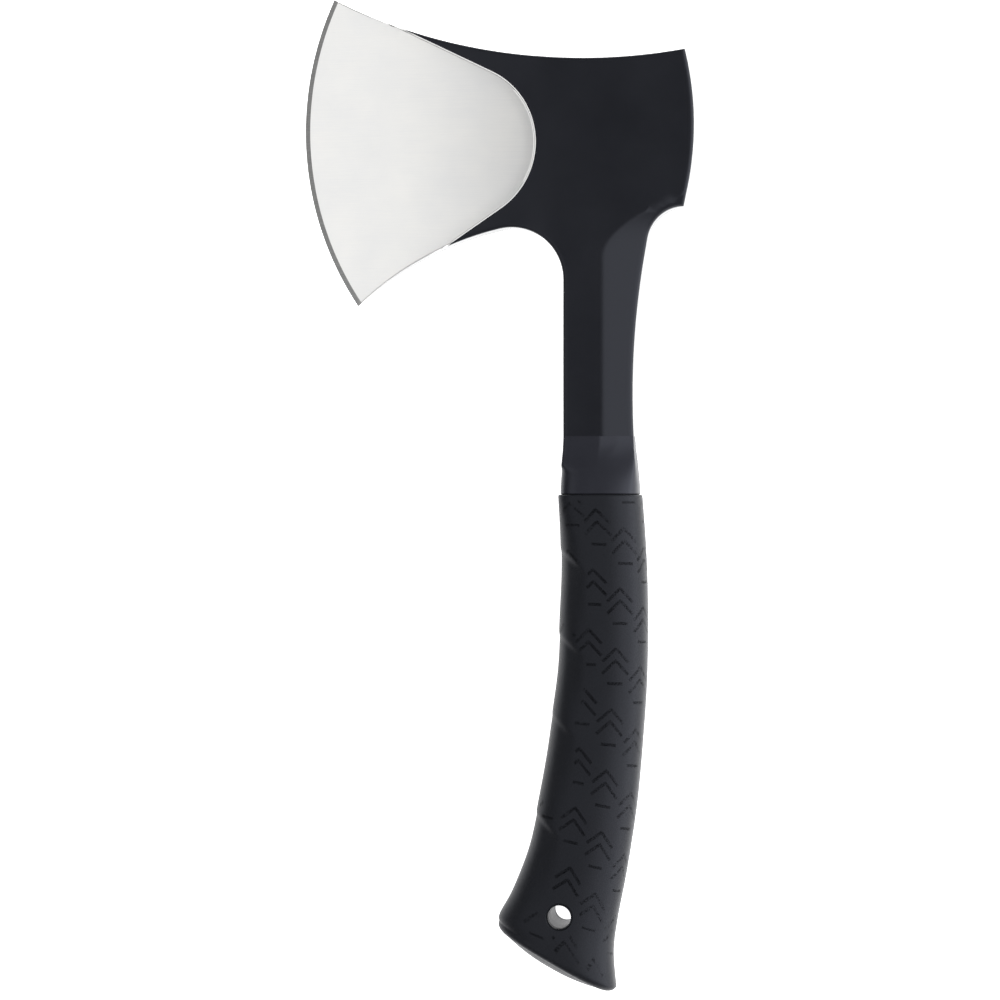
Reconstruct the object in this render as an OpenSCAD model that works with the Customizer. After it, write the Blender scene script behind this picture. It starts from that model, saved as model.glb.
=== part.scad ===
// Hatchet with a one-piece steel head, shaft and tang, a hard inner handle and a soft grip.
// It lies flat: +Y runs from the grip to the head, -X faces the cutting edge, +Z is up.
// All parts share one mid plane, half way up the grip.

/* [Head] */
// Thickness of the head and the shaft
head_t = 12; // [10:0.5:14]
// Radius of the cutting edge, seen from the side
edge_r = 95; // [93:0.5:97]
// Width of the sharpened strip along the cutting edge
bevel_w = 1.5; // [1:0.1:2.5]
// Thickness of the blade where the sharpened strip begins
bevel_t = 1.1; // [0.8:0.1:1.6]
// Thickness of the ground blade at the round end of the ground zone
grind_top = 11.4; // [11:0.1:11.6]
// How far each ground face bulges half way between the edge and that round end
grind_crown = 0.8; // [0:0.1:0.9]
// Depth of the step round the ground zone
grind_step = 0.3; // [0.1:0.05:0.35]
// Radius of the round end of the ground zone
grind_r = 23.8; // [20:0.2:28]
// Radius of the gently crowned poll
poll_r = 93; // [80:1:110]
// Half angle between the two straight sides of the ground zone
grind_flare = 30; // [26:1:34]

/* [Shaft] */
// Place of the straight front face of the shaft
shaft_front = 20.1; // [19.5:0.1:21]
// Place of the ridge where the slanted rear facet begins
facet_x = 31.9; // [29:0.1:34]
// Slope of the rear facet, in degrees
facet_angle = 14; // [8:1:18]
// Height along Y where the steel shaft meets the collar
shaft_end = 16.7; // [14:0.1:20]

/* [Tang] */
// Thickness of the flat tang inside the handle
tang_t = 6; // [4:0.5:8]
// Radius of the three holes that key the core to the tang
key_r = 3.5; // [2:0.5:4]

/* [Handle] */
// Thickness of the grip
grip_t = 22; // [20:0.5:24]
// Wall of the soft grip over the core
rubber_wall = 2.6; // [2:0.1:3.2]
// Squareness of the grip section, where 2 is an ellipse
grip_square = 2.6; // [2.2:0.1:3.2]
// Depth of the finger scoops on the front flanks
scoop_d = 0.9; // [0:0.1:1.4]

/* [Lanyard hole] */
// Radius of the bore through the core and the soft grip
lanyard_r = 3.5; // [3:0.1:4]
// Width of the chamfer round each rim
rim_chamfer = 0.3; // [0.2:0.1:0.6]

/* [Hidden] */
mid_z = grip_t / 2;
half_head = head_t / 2;

// Arcs of the side outline: the centre and radius of each
edge_c = [35.7, 109.5];
edge_spare = 1;
top_c = [29.2, 300.3];
top_r = 170.4;
poll_x = 59.3;
poll_c = [poll_x - poll_r, 109.6];
throat_r = 15.9;
throat_c = [shaft_front - throat_r, 63.6];
beard_c = [21.3, -13.8];
beard_r = norm(throat_c - beard_c) + throat_r;
back_c = [292.7, 29.2];
back_r = 251.9;
notch_r = 11.4;
notch_turn = 10.7;
notch_c = back_c + (back_r - notch_r) * [-cos(notch_turn), sin(notch_turn)];
arc_step = 3;

// Blade axis and the line where the flat cheeks begin to taper
blade_turn = 3.7;
taper_x = 14.4;
taper_y = 105;
apex = [11.9, 106.5];
// The forged half thickness at three places along the blade, before grinding
forged = [[taper_x, half_head], [-30, 2.3], [-66, 1]];
reach = 140;
grind_reach = edge_r - bevel_w - norm(apex - edge_c);

// Rear facet: it runs out towards the head in a second, rising plane
facet_drop = tan(facet_angle);
runout_steepness = 1.8;
runout_rise = runout_steepness * facet_drop;
runout_y = 72.3;

// Tang outline, front side downwards and then rear side upwards
tang_front = [[24, shaft_end + 6], [24, -30], [22.5, -62], [19, -90], [16, -106]];
tang_rear = [[22, -112], [27, -110], [32.5, -90], [36, -62], [37, -30], [36.5, shaft_end + 6]];
key_holes = [[30.3, -4], [30, -42], [27, -80]];

// Handle stations from the collar to the butt: front point, rear point and half thickness
stations = [
    [[18.5, -0.8], [43.4, -0.8], 10.3],
    [[18.9, -15], [44.5, -16], 10.9],
    [[18.7, -32], [45.1, -33], 11],
    [[17.8, -54], [44.9, -55], 11],
    [[15.5, -72], [43.6, -75], 11],
    [[12.9, -88.5], [41.8, -94], 11],
    [[9.4, -105.5], [38.9, -113], 11],
    [[4.6, -119], [35.9, -128.6], 11],
    [[0.5, -126.6], [34.8, -138.5], 10.9],
    [[0.3, -129], [35.6, -148.6], 10.5]
];
rings = 50;
ring_n = 36;
cap_scales = [0.985, 0.95, 0.9, 0.8, 0.6, 0.3];
cap_shoulder = 0.85;
cap_r = 2.3;
cap_bulge = 2.6;
core_end = 0.955;
core_cap_bulge = 1.5;
ridge_at = [17.6, 42.8, 66.9, 96.5, 124.1];
// Across the section, from -1 at the front to 1 at the rear, a scoop fades out in this span
scoop_flank = [-0.45, -0.05];

// Collar: its last section, and how square its sections are at the shaft and at the soft grip
collar_rings = 12;
collar_front = 19.2;
collar_rear = 42.7;
collar_half_t = 9.9;
shaft_square = 24;
front_square = 5;
rear_square = 3;
// The stretch, as a part of the collar's length, in which each flank becomes round
front_rounding = [0.48, 0.62];
rear_rounding = [0.1, 1];
// The stretch in which the front flank of the soft grip goes over to its own squareness
grip_rounding = [0, 0.16];
// How much of the rear facet's slope has faded out at the collar's end
facet_fade = 0.5;
lanyard_c = [19.5, -126.6];

// ---------- plane geometry ----------

// The point where two circles cross, on the side given by s
function meet(c0, r0, c1, r1, s) =
    let (d = c1 - c0, l = norm(d), u = d / l, a = (r0 * r0 - r1 * r1 + l * l) / (2 * l))
    c0 + a * u + s * sqrt(r0 * r0 - a * a) * [-u.y, u.x];

// The direction of p from c, from 0 to 360
function turn_of(c, p) = let (a = atan2(p.y - c.y, p.x - c.x)) a < 0 ? a + 360 : a;

// Points along an arc, both ends included
function arc(c, r, a0, a1) =
    let (n = max(2, ceil(abs(a1 - a0) * PI / 180 * r / arc_step)))
    [for (i = [0 : n]) let (a = a0 + (a1 - a0) * i / n) c + r * [cos(a), sin(a)]];

// The same arc between two points
function arc_between(c, r, p, q) = arc(c, r, turn_of(c, p), turn_of(c, q));

function mixed(a, b, f) = a + (b - a) * f;

// ---------- steel body ----------

toe = meet(edge_c, edge_r + edge_spare, top_c, top_r, 1);
heel = meet(edge_c, edge_r + edge_spare, beard_c, beard_r, -1);
poll_top = meet(poll_c, poll_r, top_c, top_r, -1);
poll_foot = meet(poll_c, poll_r, notch_c, notch_r, 1);
throat_top = beard_c + beard_r * (throat_c - beard_c) / norm(throat_c - beard_c);
notch_end = back_c + back_r * [-cos(notch_turn), sin(notch_turn)];
back_sine = (shaft_end - back_c.y) / back_r;
back_foot = back_c + back_r * [-sqrt(1 - back_sine * back_sine), back_sine];

module head_outline() {
    polygon(concat(
        arc(poll_c, poll_r, turn_of(poll_c, poll_foot) - 360, turn_of(poll_c, poll_top)),
        arc_between(top_c, top_r, poll_top, toe),
        arc_between(edge_c, edge_r + edge_spare, toe, heel),
        arc_between(beard_c, beard_r, heel, throat_top),
        arc(throat_c, throat_r, turn_of(throat_c, throat_top), 0),
        [[shaft_front, shaft_end]],
        arc_between(back_c, back_r, back_foot, notch_end),
        arc_between(notch_c, notch_r, notch_end, poll_foot)
    ));
}

// Half the thickness of the ground blade at the distance r from the centre of the edge arc
function ground_half(r) = let (t = (edge_r - bevel_w - r) / grind_reach)
    mixed(bevel_t, grind_top, t) / 2 + 4 * grind_crown * t * (1 - t);

// A body of revolution as thick as the ground blade, and thicker by extra on each face
module crowned_blade(extra) {
    steps = 24;
    upper = [for (i = [0 : steps]) let (r = edge_r * i / steps) [r, ground_half(r) + extra]];
    lower = [for (i = [steps : -1 : 0]) [upper[i].x, -upper[i].y]];
    translate([edge_c.x, edge_c.y, mid_z]) rotate_extrude($fn = 360) polygon(concat(upper, lower));
}

// Everything that is no thicker than the forging, seen along the blade
module forged_wedge() {
    far = 90;
    upper = concat([[far, half_head]], forged);
    lower = [for (i = [len(upper) - 1 : -1 : 0]) [upper[i].x, -upper[i].y]];
    translate([0, taper_y, mid_z]) rotate([0, 0, blade_turn]) rotate([90, 0, 0])
        linear_extrude(2 * reach, center = true) polygon(concat(upper, lower));
}

// The plan of the ground zone: a round end that opens into two straight sides
module grind_plan() {
    sweep = 90 - grind_flare;
    far = 90;
    side = [far * cos(grind_flare), far * sin(grind_flare)];
    tip = [for (a = [-sweep : 5 : sweep]) grind_r * [-cos(a), sin(a)] + [grind_r, 0]];
    outline = concat([tip[0] + [side.x, -side.y]], tip, [tip[len(tip) - 1] + side]);
    translate(apex) rotate(180 + blade_turn) polygon(outline);
}

// The two cones of the sharpened strip, which meet in the cutting edge
module edge_cones() {
    translate([edge_c.x, edge_c.y, mid_z]) for (s = [0, 1])
        mirror([0, 0, s]) cylinder(h = edge_r * bevel_t / 2 / bevel_w, r1 = edge_r, r2 = 0, $fn = 360);
}

// What is ground away on both faces of the blade, with the sharpened strip
module blade_grind() {
    difference() {
        translate([0, 0, mid_z - head_t]) linear_extrude(2 * head_t) grind_plan();
        intersection() {
            crowned_blade(0);
            edge_cones();
        }
    }
}

// One rear facet of the shaft with its run-out
module rear_facet() {
    size = 200;
    tilt = atan(norm([facet_drop, runout_rise]));
    heading = -atan(runout_rise / facet_drop);
    intersection() {
        translate([facet_x, 0, half_head]) rotate([0, facet_angle, 0])
            translate([-size / 2, -size / 2, 0]) cube(size);
        translate([facet_x, runout_y, half_head]) rotate([0, 0, heading]) rotate([0, tilt, 0])
            translate([-size / 2, -size / 2, 0]) cube(size);
    }
}

module tang() {
    difference() {
        translate([0, 0, mid_z - tang_t / 2]) linear_extrude(tang_t) polygon(concat(tang_front, tang_rear));
        for (p = key_holes) translate([p.x, p.y, 0]) cylinder(h = grip_t, r = key_r, $fn = 64);
    }
}

module steel_body() {
    color("dimgray") union() {
        difference() {
            intersection() {
                translate([0, 0, mid_z - half_head]) linear_extrude(head_t) head_outline();
                union() {
                    forged_wedge();
                    crowned_blade(grind_step);
                }
            }
            blade_grind();
            for (s = [0, 1]) translate([0, 0, mid_z]) mirror([0, 0, s]) rear_facet();
        }
        tang();
    }
}

// ---------- handle surfaces ----------

// Smooth curve through a list of values, at f from 0 to 1
function smooth_at(list, f) =
    let (n = len(list) - 1, x = f * n, i = min(floor(x), n - 1), u = x - i,
         p0 = list[max(i - 1, 0)], p1 = list[i], p2 = list[i + 1], p3 = list[min(i + 2, n)])
    0.5 * (2 * p1 + (p2 - p0) * u + (2 * p0 - 5 * p1 + 4 * p2 - p3) * u * u
        + (3 * p1 - p0 - 3 * p2 + p3) * u * u * u);

front_line = [for (s = stations) s[0]];
rear_line = [for (s = stations) s[1]];
half_line = [for (s = stations) s[2]];

// How deep the finger scoop is at y, from 0 on a ridge to 1 between two ridges
function scoop_at(y) = let (hit = [for (i = [0 : len(ridge_at) - 2])
        if (-y > ridge_at[i] && -y < ridge_at[i + 1])
            sin(180 * (-y - ridge_at[i]) / (ridge_at[i + 1] - ridge_at[i]))])
    len(hit) > 0 ? hit[0] : 0;

function power(v, e) = sign(v) * pow(abs(v), e);

// Eases from 0 to 1 while f goes from the first end of a span to its second
function eased(f, span) =
    let (t = max(0, min(1, (f - span[0]) / (span[1] - span[0]))))
    t * t * (3 - 2 * t);

// The squareness at f, which goes down with the reciprocal, so that the round part widens evenly
function rounder(first, last, f, span) = 1 / mixed(1 / first, 1 / last, eased(f, span));

// One ring of the handle between a front point and a rear point, with the squareness of its front
// half and of its rear half
function ring(front, rear, half, square_a, square_b, scoop = 0) =
    let (c = (front + rear) / 2, d = rear - front, w = norm(d) / 2, u = d / (2 * w))
    [for (i = [0 : ring_n - 1])
        let (a = 360 * i / ring_n,
             e = 2 / (cos(a) < 0 ? square_a : square_b),
             x = power(cos(a), e),
             z = power(sin(a), e) * (half - scoop * (1 - eased(x, scoop_flank))))
        [c.x + u.x * w * x, c.y + u.y * w * x, mid_z + z]];

// A ring of the grip at f, drawn in by the wall
function grip_ring(f, wall, deep) =
    let (front = smooth_at(front_line, f), rear = smooth_at(rear_line, f),
         u = (rear - front) / norm(rear - front),
         scoop = deep ? scoop_d * scoop_at((front.y + rear.y) / 2) : 0,
         square_a = deep ? rounder(front_square, grip_square, f, grip_rounding) : grip_square)
    ring(front + wall * u, rear - wall * u, smooth_at(half_line, f) - wall,
        square_a, grip_square, scoop);

// A ring scaled about its middle and pushed out of the butt
function cap_ring(base, s, out) =
    let (c = ring_middle(base), d = base[0] - base[ring_n / 2], n = [d.y, -d.x, 0] / norm(d))
    [for (p = base) c + (p - c) * s + n * out];

function ring_middle(base) = (base[0] + base[ring_n / 2]) / 2;

function cap_out(s, r, bulge) = s > cap_shoulder
    ? r * sqrt(1 - pow((s - cap_shoulder) / (1 - cap_shoulder), 2))
    : r + bulge * (1 - pow(s / cap_shoulder, 2));

function with_cap(list, r, bulge) =
    let (base = list[len(list) - 1])
    concat(list, [for (s = cap_scales) cap_ring(base, s, cap_out(s, r, bulge))]);

function cap_tip(list, r, bulge) =
    let (base = list[len(list) - 1], d = base[0] - base[ring_n / 2], n = [d.y, -d.x, 0] / norm(d))
    ring_middle(base) + n * (r + bulge);

outer_main = [for (i = [0 : rings]) grip_ring(i / rings, 0, true)];
outer_rings = with_cap(outer_main, cap_r, cap_bulge);
outer_tip = cap_tip(outer_main, cap_r, cap_bulge);
inner_main = [for (i = [0 : rings]) grip_ring(i / rings * core_end, rubber_wall, false)];
inner_rings = with_cap(inner_main, cap_r / 2, core_cap_bulge);
inner_tip = cap_tip(inner_main, cap_r / 2, core_cap_bulge);

// A ring of the collar, from the shaft section at 0 to the rounded section at 1
function collar_ring(f) =
    let (s = eased(f, [0, 1]), y = mixed(shaft_end, stations[0][0].y, f),
         half = mixed(half_head, collar_half_t, s), drop = facet_drop * (1 - facet_fade * s),
         base = ring([mixed(shaft_front, collar_front, s), y], [mixed(back_foot.x, collar_rear, s), y],
             half, rounder(shaft_square, front_square, f, front_rounding),
             rounder(shaft_square, rear_square, f, rear_rounding)))
    [for (p = base) let (top = half - max(0, p.x - facet_x) * drop)
        [p.x, p.y, mid_z + sign(p.z - mid_z) * min(abs(p.z - mid_z), top)]];

collar = [for (i = [0 : collar_rings]) collar_ring(i / collar_rings)];

// Triangles between ring i and ring i + 1, for m rings that start at point number from
function band_faces(m, from, flip) = [for (i = [0 : m - 2], j = [0 : ring_n - 1], k = [0, 1])
    let (a = from + i * ring_n + j, b = from + i * ring_n + (j + 1) % ring_n,
         t = k == 0 ? [b + ring_n, b, a] : [a + ring_n, b + ring_n, a])
    flip ? [t[2], t[1], t[0]] : t];

// Triangles that close the last ring with the point number tip
function fan_faces(from, tip, flip) = [for (j = [0 : ring_n - 1])
    let (a = from + j, b = from + (j + 1) % ring_n) flip ? [a, b, tip] : [tip, b, a]];

function joined(lists) = [for (l = lists) each l];

// The core: collar, step under the soft grip, then the inner handle to its rounded end
module core_form() {
    list = concat(collar, inner_rings);
    points = concat(joined(list), [inner_tip]);
    start_face = [for (j = [0 : ring_n - 1]) j];
    last = (len(list) - 1) * ring_n;
    polyhedron(points, concat(
        [start_face],
        band_faces(len(list), 0, false),
        fan_faces(last, len(list) * ring_n, false)));
}

// The soft grip: an outer skin and an inner skin that meet in the collar's step
module grip_form() {
    m = len(outer_rings);
    points = concat(joined(outer_rings), [outer_tip], joined(inner_rings), [inner_tip]);
    second = m * ring_n + 1;
    step = [for (j = [0 : ring_n - 1], k = [0, 1])
        let (a = j, b = (j + 1) % ring_n) k == 0 ? [second + a, a, b] : [second + b, second + a, b]];
    polyhedron(points, concat(
        band_faces(m, 0, false), fan_faces((m - 1) * ring_n, m * ring_n, false),
        band_faces(m, second, true), fan_faces(second + (m - 1) * ring_n, second + m * ring_n, true),
        step));
}

// The lanyard passage
module passage() {
    translate([lanyard_c.x, lanyard_c.y, -grip_t]) cylinder(h = 3 * grip_t, r = lanyard_r, $fn = 96);
}

// Chamfers round both rims of the opening in the soft grip
module rims() {
    deep = 3 * rim_chamfer;
    for (s = [0, 1]) translate([lanyard_c.x, lanyard_c.y, mid_z]) mirror([0, 0, s])
        translate([0, 0, mid_z - rim_chamfer])
            cylinder(h = deep, r1 = lanyard_r, r2 = lanyard_r + deep, $fn = 96);
}

module grip_core() {
    color("darkslategray") difference() {
        core_form();
        tang();
        passage();
    }
}

module rubber_grip() {
    color([0.13, 0.14, 0.16]) difference() {
        grip_form();
        passage();
        rims();
    }
}

steel_body();
grip_core();
rubber_grip();
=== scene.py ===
"""A one-piece hatchet, lying flat on a pale studio floor.

All shapes are worked out in millimetres in the part's own frame (+Y from grip to head, -X the
cutting edge, +Z up) and turned into metres when a mesh is made.
"""

import math

import bpy
import numpy as np
from mathutils import Matrix, Vector, kdtree
from mathutils.geometry import delaunay_2d_cdt


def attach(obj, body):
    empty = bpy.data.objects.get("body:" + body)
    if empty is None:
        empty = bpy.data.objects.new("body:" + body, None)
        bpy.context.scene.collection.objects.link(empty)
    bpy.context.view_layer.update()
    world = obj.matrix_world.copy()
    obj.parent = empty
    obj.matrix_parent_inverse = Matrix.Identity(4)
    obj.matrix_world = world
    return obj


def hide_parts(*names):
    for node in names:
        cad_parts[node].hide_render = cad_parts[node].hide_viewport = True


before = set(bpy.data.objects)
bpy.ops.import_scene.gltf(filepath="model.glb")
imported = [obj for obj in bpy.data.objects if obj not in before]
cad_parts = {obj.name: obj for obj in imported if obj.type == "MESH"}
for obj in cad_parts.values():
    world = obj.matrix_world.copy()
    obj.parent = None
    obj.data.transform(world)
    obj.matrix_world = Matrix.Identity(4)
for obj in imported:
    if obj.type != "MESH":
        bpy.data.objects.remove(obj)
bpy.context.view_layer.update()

MM = 0.001

# ---------- sizes of the steel, as in the CAD model ----------
HALF_HEAD = 6.0             # half the thickness of the head and the shaft
MID_Z = 11.0                # height of the mid plane that all three pieces share

# Arcs of the side outline
EDGE_C, EDGE_R = np.array([35.7, 109.5]), 95.0
TOP_C, TOP_R = np.array([29.2, 300.3]), 170.4
POLL_X, POLL_R = 59.3, 93.0
POLL_C = np.array([POLL_X - POLL_R, 109.6])
SHAFT_FRONT, SHAFT_END = 20.1, 16.7
THROAT_R = 15.9
THROAT_C = np.array([SHAFT_FRONT - THROAT_R, 63.6])
BEARD_C = np.array([21.3, -13.8])
BEARD_R = np.linalg.norm(THROAT_C - BEARD_C) + THROAT_R
BACK_C, BACK_R = np.array([292.7, 29.2]), 251.9
NOTCH_R, NOTCH_TURN = 11.4, math.radians(10.7)
NOTCH_WAY = np.array([-math.cos(NOTCH_TURN), math.sin(NOTCH_TURN)])
NOTCH_END = BACK_C + BACK_R * NOTCH_WAY
NOTCH_C = BACK_C + (BACK_R - NOTCH_R) * NOTCH_WAY

# The sharpened strip along the cutting edge, and the ground zone behind it
BEVEL_W, BEVEL_T = 1.5, 1.1
GRIND_TOP, GRIND_CROWN, GRIND_STEP = 11.4, 0.8, 0.3
BLADE_TURN = math.radians(3.7)
APEX = np.array([11.9, 106.5])
GRIND_REACH = EDGE_R - BEVEL_W - np.linalg.norm(APEX - EDGE_C)
GRIND_R, GRIND_FLARE = 23.8, math.radians(30)
GRIND_SWEEP = math.pi / 2 - GRIND_FLARE     # half the turn of the zone's round end
GRIND_HEADING = math.pi + BLADE_TURN        # direction of the zone's axis, towards the cutting edge

# Half thickness of the forging at three places along the blade's axis, before any grinding
TAPER_Y = 105.0
FORGED = [(14.4, HALF_HEAD), (-30.0, 2.3), (-66.0, 1.0)]

# The rear facet of the shaft. Its run-out under the poll is curved, where the CAD model has a plane
FACET_X, FACET_DROP = 31.9, math.tan(math.radians(14))
RUNOUT_Y, RUNOUT_R = 70.0, 29.0

# The flat tang inside the handle
TANG_HALF, TANG_TOP = 3.0, SHAFT_END + 6
TANG = [(24, TANG_TOP), (24, -30), (22.5, -62), (19, -90), (16, -106),
        (22, -112), (27, -110), (32.5, -90), (36, -62), (37, -30), (36.5, TANG_TOP)]
KEY_R = 3.5
KEY_HOLES = [(30.3, -4), (30, -42), (27, -80)]

# ---------- finer shape of the steel, for looks ----------
RIM_R = 0.9                 # rounding between the cheeks and the side walls
RIM_SHARE = 0.7             # the rounding is never more than this share of the half thickness
RIM_LEVELS = [0.0, 0.07, 0.2, 0.4, 0.65, 1.0, 1.7]  # rows of points along the rim, in parts of RIM_R
SATIN_RIM = 0.35            # the rounding along the top and the bottom of the ground blade
LIP_W, LIP_DROP = 0.3, 0.03     # the lip just inside the ground zone, painted lighter as a highlight, and how far it leans in
FILLET_W = 0.2              # hollow run-out from the lip to the ground face
ROLL_W, ROLL = 4.0, 0.09    # how the ground face rolls off towards the lip
GRIND_LINES = [0, 0.07, 0.14, 0.2, 0.6, 1.3, 2.1, 3.0, 4.0]     # rows of points inside the lip
GRIND_FAR = 75              # length of the straight sides of those rows
BEVEL_SPARE = 0.02          # how far the sharpened strip's rear line runs past the outline, in radians
TAPER_SOFT, WEDGE_SOFT = 0.3, 0.2   # rounding where the cheeks begin to taper, and along the taper
RIDGE_SOFT = 0.22           # rounding of the rear facet's ridge
RIDGE_ROWS = (-0.9, -0.45, 0, 0.45, 0.9)    # rows of points on and beside that ridge
RUNOUT_LENGTH = 14          # how far those rows follow the run-out
GRID = 1.9                  # spacing of the points inside the outline
GRID_X, GRID_Y = (-62, 62), (10, 152)
GRID_CLEAR = 0.55           # how far those points keep from all rows, in parts of GRID
SHARP = 0.004               # points this near to the edge's arc lie on the cutting edge

# ---------- sizes of the handle, as in the CAD model ----------
# Front point, rear point and half thickness of the grip, from the collar to the butt
STATIONS = np.array([
    [18.5, -0.8, 43.4, -0.8, 10.3],
    [18.9, -15, 44.5, -16, 10.9],
    [18.7, -32, 45.1, -33, 11],
    [17.8, -54, 44.9, -55, 11],
    [15.5, -72, 43.6, -75, 11],
    [12.9, -88.5, 41.8, -94, 11],
    [9.4, -105.5, 38.9, -113, 11],
    [4.6, -119, 35.9, -128.6, 11],
    [0.5, -126.6, 34.8, -138.5, 10.9],
    [0.3, -129, 35.6, -148.6, 10.5],
])
SQUARE = 2.6                # squareness of the grip's section, where 2 is an ellipse
WALL = 2.6                  # wall of the soft grip over the core
CORE_END = 0.955            # where the core ends, as a part of the grip's length
CAP_SHOULDER, CAP_R, CAP_BULGE, CORE_CAP_BULGE = 0.85, 2.3, 2.6, 1.5
COLLAR_FRONT, COLLAR_REAR, COLLAR_HALF = 19.2, 42.7, 9.9
SHAFT_SQUARE, COLLAR_SQUARE = 24.0, (5.0, 3.0)      # the collar's end has one for front and rear
# The part of the collar's length in which each flank becomes round, and the part of the grip's
# length in which its front flank goes over to the grip's own squareness
FRONT_ROUNDING, REAR_ROUNDING, GRIP_ROUNDING = (0.48, 0.62), (0.1, 1.0), (0, 0.16)
FACET_FADE = 0.5            # how much of the rear facet's slope has faded out at the collar's end
HOLE_C, HOLE_R, HOLE_RIM = np.array([19.5, -126.6]), 3.5, 0.3

# ---------- finer shape of the handle, for looks ----------
AROUND = 144                # points round a ring
ROW_STEP = 0.5              # distance between the rings of the soft grip
GRIP_RIM, GRIP_RIM_ROWS = 0.5, (0, 0.08, 0.24, 0.52)    # rolled rim of the soft grip, at the collar
COLLAR_RIM, COLLAR_RIM_ROWS = 0.35, (0.35, 0.7, 1.0)    # rolled rim of the collar, at the soft grip
COLLAR_ROWS = 44            # rings of the collar above its rim
COLLAR_SOFT = 1.3           # how much softer the ridge of the facet is on the collar
COLLAR_SOFTENING = (0, 0.4)     # the part of the collar's length in which it softens
HOLE_FACE = 10.9            # height of the grip's faces at the lanyard hole, from the mid plane
HOLE_SPARE = 8              # how far the cutter of the hole widens above its rim
BORE_SPAN = (-20, 42)       # heights between which the bore of the core is cut

# Finger scoops. Places along the grip count from the collar's end downwards, places across it go
# from -1 at the front to 1 at the rear
RIDGES = [17.6, 42.8, 66.9, 96.5, 124.1]
SCOOP_DEEP = [0.75, 0.7, 0.55, 0.8]
SCOOP_FRONT = 0.35          # how far the front line is drawn in, for each millimetre on the flank
SCOOP_EDGE = 2.3            # length of the crisp slope at the top of a scoop
SCOOP_LEAD = 1.6            # how far above its ridge the slope begins
SCOOP_SLANT, SCOOP_SLANT_W = 0.8, 9     # fall of the slope's line, and how far from the front it falls
SCOOP_FADE = (0.3, 0.98)    # the part of a scoop's length in which it fades out downwards
SCOOP_FLANK = (-0.7, -0.25)     # where it fades out across the flank
SCOOP_FRONT_FLANK = (-0.75, -1)     # where it begins to draw in the front line

# ---------- plane geometry ----------


def meet(c0, r0, c1, r1, side):
    """The point where two circles cross, on one side of the line between their centres."""
    d = c1 - c0
    gap = np.linalg.norm(d)
    u = d / gap
    a = (r0 * r0 - r1 * r1 + gap * gap) / (2 * gap)
    return c0 + a * u + side * math.sqrt(r0 * r0 - a * a) * np.array([-u[1], u[0]])


def turn_of(c, p):
    """The direction of p from c, from 0 to a full turn."""
    return math.atan2(p[1] - c[1], p[0] - c[0]) % (2 * math.pi)


def arc(c, r, a0, a1, step=1.0):
    """Points along an arc, both ends included, no more than step apart."""
    n = max(2, math.ceil(abs(a1 - a0) * r / step))
    a = np.linspace(a0, a1, n + 1)
    return c + r * np.column_stack([np.cos(a), np.sin(a)])


def arc_between(c, r, p, q, step=1.0):
    return arc(c, r, turn_of(c, p), turn_of(c, q), step)


def back_foot(d):
    """Where the back of the shaft, drawn in by d, ends at the collar."""
    drop = (SHAFT_END - BACK_C[1]) / (BACK_R + d)
    return BACK_C + (BACK_R + d) * np.array([-math.sqrt(1 - drop * drop), drop])


def head_parts(d, step=1.0):
    """The outline drawn in by d, as two open stretches: from the shaft's end up the back and over
    the poll to the toe, and from the heel under the beard down to the shaft's end. The cutting edge
    and the shaft's end aren't drawn in."""
    toe = meet(EDGE_C, EDGE_R, TOP_C, TOP_R + d, 1)
    heel = meet(EDGE_C, EDGE_R, BEARD_C, BEARD_R + d, -1)
    top = meet(POLL_C, POLL_R - d, TOP_C, TOP_R + d, -1)
    foot = meet(POLL_C, POLL_R - d, NOTCH_C, NOTCH_R + d, 1)
    notch_end = BACK_C + (NOTCH_END - BACK_C) * (1 + d / BACK_R)
    u = (THROAT_C - BEARD_C) / np.linalg.norm(THROAT_C - BEARD_C)
    throat_top = BEARD_C + (BEARD_R + d) * u
    rear = np.concatenate([
        arc_between(BACK_C, BACK_R + d, back_foot(d), notch_end, step),
        arc_between(NOTCH_C, NOTCH_R + d, notch_end, foot, step * 0.5)[1:],
        arc(POLL_C, POLL_R - d, turn_of(POLL_C, foot) - 2 * math.pi, turn_of(POLL_C, top), step)[1:],
        arc_between(TOP_C, TOP_R + d, top, toe, step)[1:],
    ])
    n = math.ceil((THROAT_C[1] - SHAFT_END) / step)
    down = np.column_stack([np.full(n, SHAFT_FRONT + d), np.linspace(THROAT_C[1], SHAFT_END, n + 1)[1:]])
    front = np.concatenate([
        arc_between(BEARD_C, BEARD_R + d, heel, throat_top, step),
        arc(THROAT_C, THROAT_R + d, turn_of(THROAT_C, throat_top), 0, step * 0.5)[1:],
        down,
    ])
    return rear, front


def inside(points, polygon):
    """True for each point that lies inside the polygon."""
    x, y = points[:, 0][:, None], points[:, 1][:, None]
    a, b = polygon, np.roll(polygon, -1, axis=0)
    hit = (a[:, 1] > y) != (b[:, 1] > y)
    with np.errstate(divide="ignore", invalid="ignore"):
        cross = (b[:, 0] - a[:, 0]) * (y - a[:, 1]) / (b[:, 1] - a[:, 1]) + a[:, 0]
    return (np.sum(hit & (x < cross), axis=1) % 2) == 1


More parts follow.
